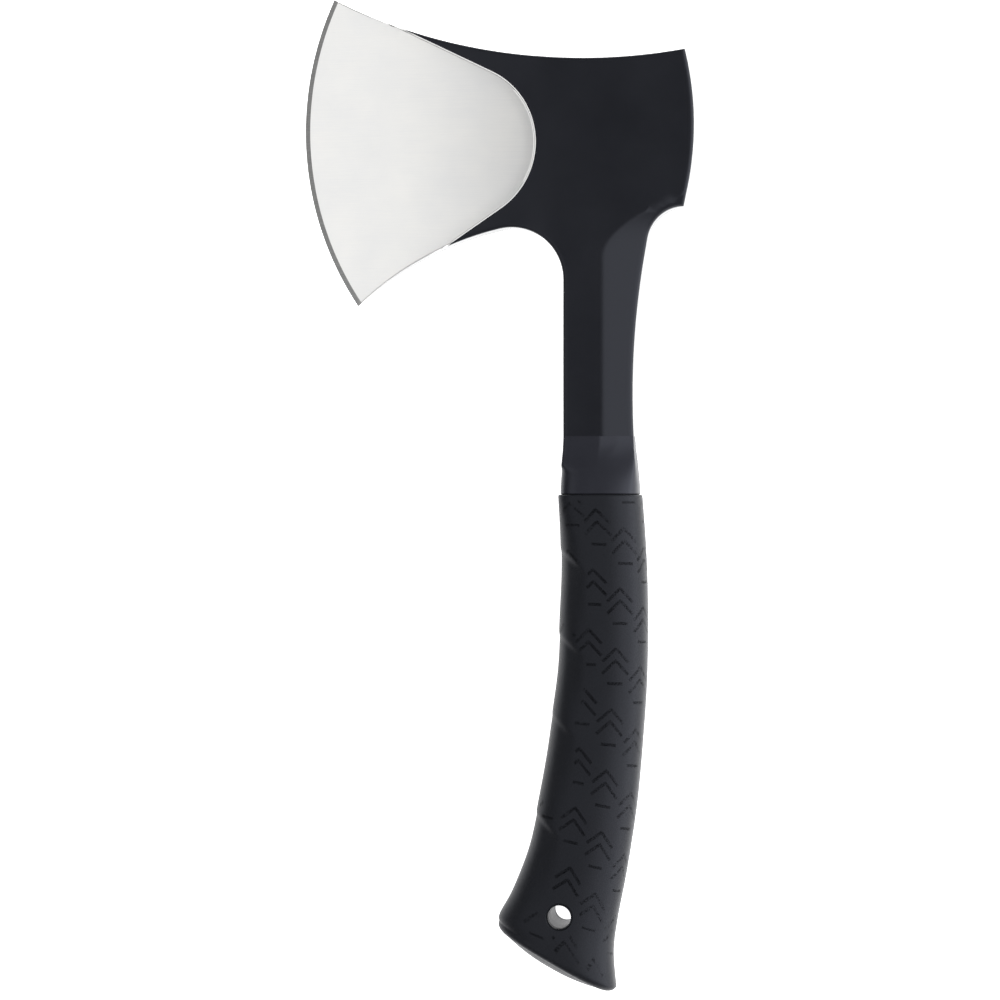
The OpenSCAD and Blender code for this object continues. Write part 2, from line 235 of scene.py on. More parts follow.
def triangulate(chains, loose, keep):
    """Triangles through some open chains and loose points, all anticlockwise; keep says which
    middles stay."""
    points, edges = [], []
    for chain in chains:
        start = len(points)
        points.extend(chain)
        edges.extend((start + i, start + i + 1) for i in range(len(chain) - 1))
    points.extend(loose)
    verts, _, faces, *_ = delaunay_2d_cdt([Vector(p) for p in points], edges, [], 0, 1e-5)
    verts = np.array([v[:] for v in verts])
    faces = np.array(faces)
    faces = faces[keep(verts[faces].mean(axis=1))]
    a, b, c = (verts[faces[:, i]] for i in range(3))
    clockwise = (b[:, 0] - a[:, 0]) * (c[:, 1] - a[:, 1]) < (b[:, 1] - a[:, 1]) * (c[:, 0] - a[:, 0])
    faces[clockwise] = faces[clockwise][:, ::-1]
    return verts, faces


def border(faces):
    """The directed edges that only one triangle has."""
    edges = dict.fromkeys((f[i], f[(i + 1) % 3]) for f in faces for i in range(3))
    return [(i, j) for i, j in edges if (j, i) not in edges]


def kd_distance(points, samples):
    """Distance of each point from the nearest sample."""
    tree = kdtree.KDTree(len(samples))
    for i, p in enumerate(samples):
        tree.insert((p[0], p[1], 0), i)
    tree.balance()
    return np.array([tree.find((p[0], p[1], 0))[2] for p in points])


# ---------- meshes ----------


def mesh_object(name, verts, faces, materials, slots=None):
    mesh = bpy.data.meshes.new(name)
    mesh.from_pydata((np.asarray(verts) * MM).tolist(), [], [tuple(f) for f in faces])
    for mat in materials:
        mesh.materials.append(mat)
    if slots is not None:
        mesh.polygons.foreach_set("material_index", np.asarray(slots, np.int32))
    mesh.update()
    obj = bpy.data.objects.new(name, mesh)
    bpy.context.scene.collection.objects.link(obj)
    return obj


def boolean(obj, cutter, operation="DIFFERENCE"):
    """Applies one boolean and removes the cutter."""
    modifier = obj.modifiers.new("cut", "BOOLEAN")
    modifier.operation = operation
    modifier.solver = "MANIFOLD"
    modifier.object = cutter
    bpy.context.view_layer.update()
    made = bpy.data.meshes.new_from_object(obj.evaluated_get(bpy.context.evaluated_depsgraph_get()))
    obj.modifiers.clear()
    old = obj.data
    obj.data = made
    made.name = obj.name
    bpy.data.meshes.remove(old)
    bpy.data.objects.remove(cutter)


def shade(obj, angle, by_material=False):
    """Smooth shading with sharp edges above an angle, and between materials if asked."""
    mesh = obj.data
    mesh.polygons.foreach_set("use_smooth", [True] * len(mesh.polygons))
    mesh.set_sharp_from_angle(angle=math.radians(angle))
    if by_material:
        seen = {}
        sharp = mesh.attributes.get("sharp_edge") or mesh.attributes.new("sharp_edge", "BOOLEAN", "EDGE")
        for poly in mesh.polygons:
            for loop in poly.loop_indices:
                edge = mesh.loops[loop].edge_index
                if seen.setdefault(edge, poly.material_index) != poly.material_index:
                    sharp.data[edge].value = True
    mesh.update()


# ---------- steel body ----------


def smooth_min(a, b, k):
    """The lesser of two values, with the corner between them rounded over a difference of k."""
    return np.minimum(a, b) - np.maximum(k - np.abs(a - b), 0) ** 2 / (4 * k)


def smooth_max(a, b, k):
    return -smooth_min(-a, -b, k)


def line_at(a, b, x):
    """The value at x of the straight line through the points a and b."""
    return a[1] + (x - a[0]) * (b[1] - a[1]) / (b[0] - a[0])


def edge_distance(p):
    """Distance of each point from the centre of the cutting edge's arc."""
    return np.hypot(p[:, 0] - EDGE_C[0], p[:, 1] - EDGE_C[1])


def rotated(p, a):
    """Plan points turned by a about the origin."""
    return np.column_stack([p[:, 0] * math.cos(a) - p[:, 1] * math.sin(a),
                            p[:, 0] * math.sin(a) + p[:, 1] * math.cos(a)])


def ground_half(p):
    """Half the thickness of the ground blade, which bulges a little between edge and cheek."""
    t = (EDGE_R - BEVEL_W - edge_distance(p)) / GRIND_REACH
    return (BEVEL_T + (GRIND_TOP - BEVEL_T) * t) / 2 + 4 * GRIND_CROWN * t * (1 - t)


def forged_half(p):
    """Half the thickness of the forging before any grinding."""
    x, y = p[:, 0], p[:, 1]
    u = x * math.cos(BLADE_TURN) + (y - TAPER_Y) * math.sin(BLADE_TURN)
    cheek, middle, tip = FORGED
    wedge = np.maximum(line_at(cheek, middle, u), line_at(middle, tip, u))
    wedge = smooth_max(wedge, ground_half(p) + GRIND_STEP, WEDGE_SOFT)
    body = smooth_min(np.full(len(p), HALF_HEAD), wedge, TAPER_SOFT)
    facet = HALF_HEAD - FACET_DROP * (x - FACET_X) + np.maximum(0, y - RUNOUT_Y) ** 2 / (2 * RUNOUT_R)
    return smooth_min(body, facet, RIDGE_SOFT)


def grind_depth(p):
    """Distance inside the outline of the ground zone, below 0 outside it."""
    q = rotated(p - APEX, -GRIND_HEADING)
    x, y = q[:, 0] - GRIND_R, np.abs(q[:, 1])
    sine, cosine = math.sin(GRIND_FLARE), math.cos(GRIND_FLARE)
    round_end = GRIND_R - np.hypot(x, y)
    leg = (x + GRIND_R * sine) * sine - (y - GRIND_R * cosine) * cosine
    return np.where(np.arctan2(y, -x) < GRIND_SWEEP, round_end, leg)


def grind_line(inset):
    """The outline of the ground zone, drawn in by inset: a round end between two straight sides."""
    a = np.linspace(0, GRIND_SWEEP, 31)
    r = GRIND_R - inset
    bend = np.column_stack([GRIND_R - r * np.cos(a), r * np.sin(a)])
    along = np.array([math.cos(GRIND_FLARE), math.sin(GRIND_FLARE)])
    leg = bend[-1] + np.linspace(0, GRIND_FAR, 61)[1:, None] * along
    half = np.concatenate([bend, leg])
    return APEX + rotated(np.concatenate([half[:0:-1] * [1, -1], half]), GRIND_HEADING)


def ridge_lines():
    """Rows of points along the ridge of the rear facet and beside it, with its run-out."""
    climb = np.linspace(0, RUNOUT_LENGTH, 29)[1:]
    y = np.concatenate([np.linspace(SHAFT_END, RUNOUT_Y, 50), RUNOUT_Y + climb])
    x = FACET_X + np.maximum(0, y - RUNOUT_Y) ** 2 / (2 * RUNOUT_R * FACET_DROP)
    ridge = np.column_stack([x, y])
    along = np.gradient(ridge, axis=0)
    side = np.column_stack([along[:, 1], -along[:, 0]]) / np.linalg.norm(along, axis=1)[:, None]
    rows = [ridge + side * d for d in RIDGE_ROWS]
    for row in rows:
        row[0, 1] = SHAFT_END
    return rows


def steel_half(p):
    """Half the thickness of the finished steel, before its rims are rounded."""
    depth = grind_depth(p)
    lip = forged_half(p) - LIP_DROP * np.clip(depth / LIP_W, 0, 1)
    depth = depth - LIP_W
    ground = ground_half(p) - ROLL * np.clip(1 - depth / ROLL_W, 0, 1) ** 2
    fillet = (lip - ground) * np.clip(1 - depth / FILLET_W, 0, 1) ** 2
    half = np.where(depth > 0, ground + fillet, lip)
    bevel = BEVEL_T / 2 / BEVEL_W * (EDGE_R - edge_distance(p))
    return np.where(p[:, 0] < 0, np.maximum(np.minimum(half, bevel), 0), half)


def rim_drop(p, half):
    """How far the rounding of the rims takes the cheeks down at each point."""
    rim = kd_distance(p, np.concatenate(head_parts(0, 0.05)))
    radius = RIM_R + (SATIN_RIM - RIM_R) * np.clip(grind_depth(p) / RIM_R, 0, 1)
    radius = np.minimum(radius, RIM_SHARE * half)
    t = np.clip(rim / np.maximum(radius, 1e-6), 0, 1)
    return radius * (1 - np.sqrt(1 - (1 - t) ** 2))


# The fourth finish is the lip round the ground zone: bare steel, painted lighter as a highlight
COATED, SATIN, HONED, LIP_HIGHLIGHT, WALL_SIDE = range(5)


def finish_at(p):
    """Which finish the cheeks have at each point."""
    depth = grind_depth(p)
    kind = np.where(depth > LIP_W, SATIN, np.where(depth > 0, LIP_HIGHLIGHT, COATED))
    kind[(edge_distance(p) > EDGE_R - BEVEL_W) & (p[:, 0] < 0)] = HONED
    return kind


def steel_outline(parts, toes, heels):
    """The closed outline of the head and the shaft, with a point wherever a row along the rim ends."""
    middle = np.linspace(toes[-1], heels[-1], 120)[1:-1]
    turns = np.concatenate([toes, middle, heels[::-1]])
    edge = EDGE_C + EDGE_R * np.column_stack([np.cos(turns), np.sin(turns)])
    fronts = [front[-1] for _, front in parts]
    rears = [rear[0] for rear, _ in parts[::-1]]
    foot = np.concatenate([fronts, np.linspace(fronts[-1], rears[0], 14)[1:-1], rears])
    rear, front = parts[0]
    return np.concatenate([rear[:-1], edge, front[1:-1], foot])


def loose_points(outline, rows):
    """A triangular grid of points inside the outline that keeps clear of all rows."""
    xs = np.arange(*GRID_X, GRID)
    ys = np.arange(*GRID_Y, GRID * math.sqrt(3) / 2)
    grid = np.array([(x + (GRID / 2 if j % 2 else 0), y) for j, y in enumerate(ys) for x in xs])
    grid = grid[inside(grid, outline)]
    return grid[kd_distance(grid, rows) > GRID_CLEAR * GRID]


def steel_plan():
    """The triangles of one cheek in plan, with rows of points wherever the thickness bends."""
    parts = [head_parts(RIM_R * t) for t in RIM_LEVELS]
    toes = [turn_of(EDGE_C, rear[-1]) for rear, _ in parts]
    heels = [turn_of(EDGE_C, front[0]) for _, front in parts]
    outline = steel_outline(parts, toes, heels)
    rims = [row for pair in parts[1:] for row in pair]
    bevel = arc(EDGE_C, EDGE_R - BEVEL_W, min(toes) - BEVEL_SPARE, max(heels) + BEVEL_SPARE)
    grinds = [grind_line(0)] + [grind_line(LIP_W + d) for d in GRIND_LINES]
    rows = [*rims, bevel, *grinds, *ridge_lines()]
    loose = loose_points(outline, np.concatenate([outline, *rows]))
    chains = [outline, outline[[-1, 0]], *rows]
    return triangulate(chains, loose, lambda middle: inside(middle, outline))


def make_steel(materials):
    """Head and shaft: two cheeks that meet in the cutting edge, and side walls elsewhere."""
    verts, faces = steel_plan()
    half = steel_half(verts)
    half = half - rim_drop(verts, half)
    sharp = (edge_distance(verts) > EDGE_R - SHARP) & (verts[:, 0] < 0)
    half[sharp] = 0

    used = np.unique(faces)
    split = used[~sharp[used]]
    upper = np.full(len(verts), -1)
    upper[used] = np.arange(len(used))
    lower = upper.copy()
    lower[split] = len(used) + np.arange(len(split))
    points = np.concatenate([
        np.column_stack([verts[used], MID_Z + half[used]]),
        np.column_stack([verts[split], MID_Z - half[split]]),
    ])
    kind = list(finish_at(verts[faces].mean(axis=1)))
    sides = [(i, j) for i, j in border(faces) if not (sharp[i] and sharp[j])]
    walls = [tuple(dict.fromkeys((lower[i], lower[j], upper[j], upper[i]))) for i, j in sides]
    cheeks = [tuple(upper[f]) for f in faces] + [tuple(lower[f][::-1]) for f in faces]
    slots = kind + kind + [WALL_SIDE] * len(walls)
    return mesh_object("steel_forging", points, cheeks + walls, materials, slots)


def prism(name, outline, holes, z0, z1, materials):
    """A flat closed plate with round holes."""
    rings = [np.array(outline, float)]
    rings += [arc(np.array(c, float), r, 0, 2 * math.pi, 0.5)[:-1] for c, r in holes]

    def keep(middle):
        ok = inside(middle, rings[0])
        for ring in rings[1:]:
            ok &= ~inside(middle, ring)
        return ok

    verts, faces = triangulate([np.concatenate([ring, ring[:1]]) for ring in rings], [], keep)
    n = len(verts)
    walls = [(i + n, j + n, j, i) for i, j in border(faces)]
    top, bottom = (np.column_stack([verts, np.full(n, z)]) for z in (z1, z0))
    all_faces = [tuple(f) for f in faces] + [tuple(f[::-1] + n) for f in faces] + walls
    return mesh_object(name, np.concatenate([top, bottom]), all_faces, materials)


def make_tang(name, materials):
    holes = [(c, KEY_R) for c in KEY_HOLES]
    return prism(name, TANG, holes, MID_Z - TANG_HALF, MID_Z + TANG_HALF, materials)


# ---------- handle surfaces ----------


def station_at(f):
    """Front point, rear point and half thickness of the handle at each f from 0 to 1."""
    f = np.atleast_1d(f)
    n = len(STATIONS) - 1
    x = np.minimum(f, 1 - 1e-4) * n
    i = np.floor(x).astype(int)
    u = (x - i)[:, None]
    p0, p1 = STATIONS[np.maximum(i - 1, 0)], STATIONS[i]
    p2, p3 = STATIONS[i + 1], STATIONS[np.minimum(i + 2, n)]
    square, cube = 2 * p0 - 5 * p1 + 4 * p2 - p3, 3 * p1 - p0 - 3 * p2 + p3
    s = 0.5 * (2 * p1 + (p2 - p0) * u + square * u * u + cube * u ** 3)
    return s[:, 0:2], s[:, 2:4], s[:, 4]


def smooth_step(low, high, x):
    """Eases from 0 at low to 1 at high."""
    t = np.clip((x - low) / (high - low), 0, 1)
    return t * t * (3 - 2 * t)


def scoop(y, x, from_front):
    """Depth of the finger scoops: crisp at the top of each, along a slanting line, then fading out."""
    v = -y - SCOOP_SLANT * np.minimum(from_front, SCOOP_SLANT_W) + SCOOP_LEAD
    deep = np.zeros_like(v)
    for top, end, most in zip(RIDGES[:-1], RIDGES[1:], SCOOP_DEEP):
        span = end - top
        fade = smooth_step(SCOOP_FADE[0] * span, SCOOP_FADE[1] * span, v - top)
        deep = np.maximum(deep, most * smooth_step(0, SCOOP_EDGE, v - top) * (1 - fade))
    return deep * (1 - smooth_step(*SCOOP_FLANK, x))


def scooped(plan, x, z, u, w, half):
    """Section points pushed in by the finger scoops, from the flank and from the front."""
    deep = scoop(plan[..., 1], x, (x + 1) * w)
    front = SCOOP_FRONT * deep * smooth_step(*SCOOP_FRONT_FLANK, x)
    return plan + np.multiply.outer(front, u), z - np.minimum(deep, z) * (z / half) ** 0.5


def half_section(front_square=SQUARE, rear_square=SQUARE):
    """Half a superellipse from its rear point over the top to its front point. A square of 2 makes
    a plain ellipse, and a higher one a squarer section."""
    a = np.linspace(0, math.pi, 4001)
    power = 2 / np.where(np.cos(a) < 0, front_square, rear_square)
    x = np.sign(np.cos(a)) * np.abs(np.cos(a)) ** power
    z = np.abs(np.sin(a)) ** power
    return x, z


PLAIN_SECTION = half_section()


def rounder(first, last, f, span):
    """Squareness at f, which goes down with the reciprocal, so that the round part widens evenly."""
    return 1 / (1 / first + (1 / last - 1 / first) * smooth_step(*span, f))


def outer_section(f):
    """Half the section of the soft grip at f. Its front flank is squarer near the collar."""
    if f >= GRIP_ROUNDING[1]:
        return PLAIN_SECTION
    return half_section(rounder(COLLAR_SQUARE[0], SQUARE, f, GRIP_ROUNDING))


def run_along(x, z):
    """Distance along a line up to each of its points."""
    return np.concatenate([[0], np.cumsum(np.hypot(np.diff(x), np.diff(z)))])


def evenly(x, z):
    """The line of half a section again, with evenly spaced points that end on the mid plane."""
    run = run_along(x, z)
    at = np.linspace(0, run[-1], AROUND // 2 + 1)
    x, z = np.interp(at, run, x), np.interp(at, run, z)
    z[0] = z[-1] = 0
    return x, z


def whole_ring(plan, z):
    """A ring from its upper half, which is mirrored in the mid plane."""
    upper, lower = np.column_stack([plan, MID_Z + z]), np.column_stack([plan, MID_Z - z])
    return np.concatenate([upper, lower[-2:0:-1]])


def grip_rings(f, inset, deep):
    """Rings of the handle at each f, drawn in by inset, with AROUND evenly spaced points from the
    rear point over the top. Scoops are cut into the front flanks if deep is true."""
    front, rear, half = station_at(f)
    f = np.atleast_1d(f)
    inset = np.broadcast_to(inset, f.shape)
    u = (rear - front) / np.linalg.norm(rear - front, axis=1)[:, None]
    front, rear, half = front + u * inset[:, None], rear - u * inset[:, None], half - inset
    rings = []
    for i in range(len(f)):
        middle, w = (front[i] + rear[i]) / 2, np.linalg.norm(rear[i] - front[i]) / 2
        ux, uz = outer_section(f[i]) if deep else PLAIN_SECTION
        x, z = evenly(ux * w, uz * half[i])
        plan = middle + np.multiply.outer(x, u[i])
        if deep:
            plan, z = scooped(plan, x / w, z, u[i], w, half[i])
        rings.append(whole_ring(plan, z))
    return np.array(rings)


def cap_rings(base, radius, bulge):
    """Rings that close the butt, first round a shoulder and then over a dome, and its tip."""
    c = (base[0] + base[AROUND // 2]) / 2
    d = base[0] - base[AROUND // 2]
    n = np.array([d[1], -d[0], 0]) / np.linalg.norm(d)
    turn = np.linspace(0, math.pi / 2, 9)[1:]
    dome = np.linspace(CAP_SHOULDER, 0, 14)[1:-1]
    scales = [(CAP_SHOULDER + (1 - CAP_SHOULDER) * math.cos(t), radius * math.sin(t)) for t in turn]
    scales += [(s, radius + bulge * (1 - (s / CAP_SHOULDER) ** 2)) for s in dome]
    rings = np.array([c + (base - c) * s + n * out for s, out in scales])
    return rings, c + n * (radius + bulge)


def strip_faces(rows, start=0, n=AROUND):
    """The faces between rows of n points each, as closed rings."""
    faces = []
    for i in range(rows - 1):
        a = start + i * n
        faces += [(a + j, a + (j + 1) % n, a + n + (j + 1) % n, a + n + j) for j in range(n)]
    return faces


def fan(start, tip):
    """The faces between a ring and a tip."""
    return [(start + j, start + (j + 1) % AROUND, tip) for j in range(AROUND)]


def flipped(faces):
    return [tuple(f[::-1]) for f in faces]


def centre_run(samples=2000):
    """A table of f against the distance along the middle of the handle."""
    f = np.linspace(0, 1, samples)
    front, rear, _ = station_at(f)
    c = (front + rear) / 2
    return f, run_along(c[:, 0], c[:, 1])


RUN_F, RUN_S = centre_run()
RUN_LENGTH = RUN_S[-1]


def f_at(s):
    return np.interp(s, RUN_S, RUN_F)


def inner_skin():
    """Rings and tip of the skin between the core and the soft grip."""
    s = np.linspace(0, RUN_LENGTH, 60)
    rings = grip_rings(f_at(s) * CORE_END, WALL, False)
    cap, tip = cap_rings(rings[-1], CAP_R / 2, CORE_CAP_BULGE)
    return np.concatenate([rings, cap]), tip


def collar_ring(f, inset):
    """One ring of the collar, drawn in by inset: at 0 the shaft's section, at 1 the rounded one."""
    s = smooth_step(0, 1, f)
    back_x = back_foot(0)[0]
    front = SHAFT_FRONT + (COLLAR_FRONT - SHAFT_FRONT) * s + inset
    rear = back_x + (COLLAR_REAR - back_x) * s - inset
    half = HALF_HEAD + (COLLAR_HALF - HALF_HEAD) * s - inset
    ux, uz = half_section(rounder(SHAFT_SQUARE, COLLAR_SQUARE[0], f, FRONT_ROUNDING),
                          rounder(SHAFT_SQUARE, COLLAR_SQUARE[1], f, REAR_ROUNDING))
    x = (front + rear) / 2 + ux * (rear - front) / 2
    facet = half - (x - FACET_X) * FACET_DROP * (1 - FACET_FADE * s)
    soft = RIDGE_SOFT + COLLAR_SOFT * smooth_step(*COLLAR_SOFTENING, f)
    x, z = evenly(x, np.maximum(smooth_min(uz * half, facet, soft), 0))
    y = SHAFT_END + (STATIONS[0][1] - SHAFT_END) * f
    return whole_ring(np.column_stack([x, np.full(len(x), y)]), z)


def collar_rings():
    """The collar down to the soft grip, where it ends in a small rolled rim."""
    rim = COLLAR_RIM / (SHAFT_END - STATIONS[0][1])
    rows = [(f, 0) for f in np.linspace(0, 1 - rim, COLLAR_ROWS)]
    rows += [(1 - rim * (1 - t), COLLAR_RIM * t) for t in COLLAR_RIM_ROWS]
    return np.array([collar_ring(f, inset) for f, inset in rows])


def lathe(name, profile, materials, n=96):
    """A closed solid of revolution about the lanyard hole: (height, radius) pairs upwards."""
    a = np.linspace(0, 2 * math.pi, n, endpoint=False)
    circle = np.column_stack([np.cos(a), np.sin(a)])
    rings = np.array([np.column_stack([HOLE_C + r * circle, np.full(n, z)]) for z, r in profile])
    last = (len(profile) - 1) * n
    faces = strip_faces(len(profile), 0, n) + [tuple(range(n))[::-1], tuple(range(last, last + n))]
    return mesh_object(name, rings.reshape(-1, 3), faces, materials)


def make_core(materials):
    inner, tip = inner_skin()
    rings = np.concatenate([collar_rings(), inner])
    verts = np.concatenate([rings.reshape(-1, 3), [tip]])
    first_face = tuple(range(AROUND))[::-1]
    faces = strip_faces(len(rings)) + fan((len(rings) - 1) * AROUND, len(verts) - 1) + [first_face]
    obj = mesh_object("grip_core_moulding", verts, faces, materials)
    boolean(obj, make_tang("tang_space", materials))
    boolean(obj, lathe("bore", [(z, HOLE_R) for z in BORE_SPAN], materials))
    return obj


def hole_profile():
    """The hole of the soft grip with its rounded rims, as (height, radius) pairs upwards."""
    turn = np.linspace(math.pi / 2, 0, 7)
    half = [(HOLE_FACE - HOLE_RIM * math.cos(t), HOLE_R + HOLE_RIM * (1 - math.sin(t))) for t in turn]
    half.append((HOLE_FACE + HOLE_SPARE, HOLE_R + HOLE_RIM + HOLE_SPARE))
    return [(MID_Z - z, r) for z, r in half[::-1]] + [(MID_Z + z, r) for z, r in half]


def make_grip(materials):
    rim = np.array(GRIP_RIM_ROWS) * GRIP_RIM
    s = np.concatenate([rim, np.arange(GRIP_RIM, RUN_LENGTH, ROW_STEP), [RUN_LENGTH]])
    inset = GRIP_RIM - np.sqrt(GRIP_RIM ** 2 - np.maximum(GRIP_RIM - s, 0) ** 2)
    rings = grip_rings(f_at(s), inset, True)
    cap, tip = cap_rings(rings[-1], CAP_R, CAP_BULGE)
    outer = np.concatenate([rings, cap])
    inner, inner_tip = inner_skin()
    verts = np.concatenate([outer.reshape(-1, 3), [tip], inner.reshape(-1, 3), [inner_tip]])
    second = len(outer) * AROUND + 1
    inner_fan = fan(second + (len(inner) - 1) * AROUND, len(verts) - 1)
    faces = strip_faces(len(outer)) + fan((len(outer) - 1) * AROUND, second - 1)
    faces += flipped(strip_faces(len(inner), second) + inner_fan)
    faces += [(second + j, second + (j + 1) % AROUND, (j + 1) % AROUND, j) for j in range(AROUND)]
    obj = mesh_object("rubber_overmould", verts, faces, materials)
    boolean(obj, lathe("hole", hole_profile(), materials))
    return obj


# ---------- tread ----------

# One mark: two open chevrons and a short bar, as (along the handle, across it)
MARK = [
    [(1.4, -3.9), (5.4, 0), (1.4, 3.9)],
    [(-2.2, -3.9), (1.8, 0), (-2.2, 3.9)],
    [(-5.0, -2.3), (-5.0, 2.3)],
]
MARK_PITCH, MARK_ROWS = 17.9, range(-1, 9)
# Each column: where its marks start along the grip, and its place beside the second column
MARK_COLUMNS = [(20.6, -8.6), (15.2, 0.0), (9.8, 8.5), (4.4, 17.0)]
MARK_BEND = (75.0, 62.0, 16.0, 4.2)   # the columns are nearly straight while the handle curves
GROOVE_W, GROOVE_DEEP, GROOVE_OVER = 0.9, 0.55, 0.5
STROKE_STEP = 0.6           # spacing of the points along a groove
STROKE_LEAST = 3            # shorter runs of points are left out
# Where grooves may be: shallower in a scoop than this, clear of the hole's rim by this, between
# these distances from both ends, and between these distances round the grip from its rear line
CLEAR_SCOOP, CLEAR_HOLE, CLEAR_ENDS, CLEAR_ROUND = 0.05, 2.4, (1.6, 1.2), (0.8, 38)


def column_base(s):
    """Distance round the grip from its rear line to the second column of marks."""
    middle, span, most, dip = MARK_BEND
    return most - dip * ((s - middle) / span) ** 2


def surface_points(s, t):
    """Points of the grip at distance s along it and t round it from the rear line."""
    f = f_at(s)
    front, rear, half = station_at(f)
    u = (rear - front) / np.linalg.norm(rear - front, axis=1)[:, None]
    out = np.zeros((len(s), 3))
    for i in range(len(s)):
        middle, w = (front[i] + rear[i]) / 2, np.linalg.norm(rear[i] - front[i]) / 2
        ux, uz = outer_section(f[i])
        run = run_along(ux * w, uz * half[i])
        x, z = np.interp(abs(t[i]), run, ux), np.interp(abs(t[i]), run, uz) * half[i]
        plan, z = scooped(middle + u[i] * w * x, x, z, u[i], w, half[i])
        out[i] = [*plan, MID_Z + math.copysign(z, t[i])]
    return out


def surface(s, t):
    """The same points with the grip's outward normals."""
    e = 0.05
    p = surface_points(s, t)
    across = surface_points(s, t + e) - surface_points(s, t - e)
    along = surface_points(s + e, t) - surface_points(s - e, t)
    n = np.cross(across, along)
    n /= np.linalg.norm(n, axis=1)[:, None]
    n[n[:, 2] * (p[:, 2] - MID_Z) < 0] *= -1
    return p, n


def densify(path, step):
    """The same path with more points, no more than step apart."""
    out = [np.array(path[0], float)]
    for a, b in zip(path[:-1], path[1:]):
        a, b = np.array(a, float), np.array(b, float)
        n = max(1, math.ceil(np.linalg.norm(b - a) / step))
        out.extend(a + (b - a) * i / n for i in range(1, n + 1))
    return np.array(out)


def groove(path):
    """The corners of a thin bar that follows a path (s, t) on the grip, half sunk into it."""
    d = np.gradient(path, axis=0)
    d /= np.linalg.norm(d, axis=1)[:, None]
    side = np.column_stack([-d[:, 1], d[:, 0]])
    sections = []
    for offset in (-GROOVE_W / 2, GROOVE_W / 2):
        q = path + side * offset
        p, n = surface(q[:, 0], q[:, 1])
        sections.append((p - n * GROOVE_DEEP, p + n * GROOVE_OVER))
    (low_a, high_a), (low_b, high_b) = sections
    rings = np.stack([low_a, low_b, high_b, high_a], axis=1)
    last = (len(path) - 1) * 4
    faces = strip_faces(len(path), 0, 4) + [(3, 2, 1, 0), tuple(range(last, last + 4))]
    return rings.reshape(-1, 3), faces


def clear_runs(path):
    """The stretches of a stroke that keep clear of the scoops, the lanyard hole and the grip's ends."""
    s, t = path[:, 0], path[:, 1]
    plan = surface_points(s, t)[:, :2]
    front, rear, _ = station_at(f_at(s))
    from_front = np.linalg.norm(plan - front, axis=1)
    x = 2 * from_front / np.linalg.norm(rear - front, axis=1) - 1
    clear = scoop(plan[:, 1], x, from_front) < CLEAR_SCOOP
    clear &= np.linalg.norm(plan - HOLE_C, axis=1) > HOLE_R + CLEAR_HOLE
    clear &= (s > CLEAR_ENDS[0]) & (s < RUN_LENGTH - CLEAR_ENDS[1])
    clear &= (t > CLEAR_ROUND[0]) & (t < CLEAR_ROUND[1])
    runs = np.split(np.arange(len(path)), np.where(np.diff(clear.astype(int)) != 0)[0] + 1)
    return [path[run] for run in runs if clear[run[0]] and len(run) >= STROKE_LEAST]


def make_tread(materials, slot):
    """Every groove of the tread as one cutter, on both halves of the grip."""
    verts, faces = [], []
    total = 0
    places = [(start + row * MARK_PITCH, across) for start, across in MARK_COLUMNS for row in MARK_ROWS]
    for at, across in places:
        for stroke in MARK:
            path = [at, column_base(at) + across] + densify(stroke, STROKE_STEP) * [-1, 1]
            for run in clear_runs(path):
                for flip in (1, -1):
                    points, quads = groove(run * [1, flip])
                    quads = flipped(quads) if flip < 0 else quads
                    verts.append(points)
                    faces.extend(tuple(i + total for i in quad) for quad in quads)
                    total += len(points)
    return mesh_object("tread", np.concatenate(verts), faces, materials, [slot] * len(faces))


# ---------- materials ----------


def new_material(name, **sockets):
    mat = bpy.data.materials.new(name)
    mat.use_nodes = True
    shader = mat.node_tree.nodes["Principled BSDF"]
    for key, value in sockets.items():
        socket = shader.inputs[key.replace("_", " ")]
        socket.default_value = (*value, 1) if isinstance(value, tuple) and len(value) == 3 else value
    return mat, mat.node_tree, shader


def noise(tree, scale, detail=4.0, rough=0.55, stretch=(1, 1, 1)):
    """A noise in the object's own space, with its scale in cells per millimetre."""
    where = tree.nodes.new("ShaderNodeTexCoord")
    mapping = tree.nodes.new("ShaderNodeMapping")
    mapping.inputs["Scale"].default_value = [scale * s / MM for s in stretch]
    node = tree.nodes.new("ShaderNodeTexNoise")
    node.inputs["Scale"].default_value = 1
    node.inputs["Detail"].default_value = detail
    node.inputs["Roughness"].default_value = rough
    tree.links.new(where.outputs["Object"], mapping.inputs["Vector"])
    tree.links.new(mapping.outputs["Vector"], node.inputs["Vector"])
    return node.outputs["Fac"]


def spread(tree, value, low, high, start=0.3, end=0.7, smooth=False):
    """A value from low to high while the given one goes from start to end."""
    node = tree.nodes.new("ShaderNodeMapRange")
    node.interpolation_type = "SMOOTHSTEP" if smooth else "LINEAR"
    for key, x in (("From Min", start), ("From Max", end), ("To Min", low), ("To Max", high)):
        node.inputs[key].default_value = x
    tree.links.new(value, node.inputs["Value"])
    return node.outputs["Result"]


def combined(tree, operation, a, b):
    node = tree.nodes.new("ShaderNodeMath")
    node.operation = operation
    tree.links.new(a, node.inputs[0])
    tree.links.new(b, node.inputs[1])
    return node.outputs["Value"]


def paint(tree, shader, value, dark, light, start=0.3, end=0.7):
    """Lets the colour go from dark to light while a value goes from start to end."""
    ramp = tree.nodes.new("ShaderNodeValToRGB")
    ramp.color_ramp.elements[0].color = (*dark, 1)
    ramp.color_ramp.elements[1].color = (*light, 1)
    tree.links.new(spread(tree, value, 0, 1, start, end), ramp.inputs["Fac"])
    tree.links.new(ramp.outputs["Color"], shader.inputs["Base Color"])


def roughen(tree, shader, value, low, high):
    tree.links.new(spread(tree, value, low, high), shader.inputs["Roughness"])


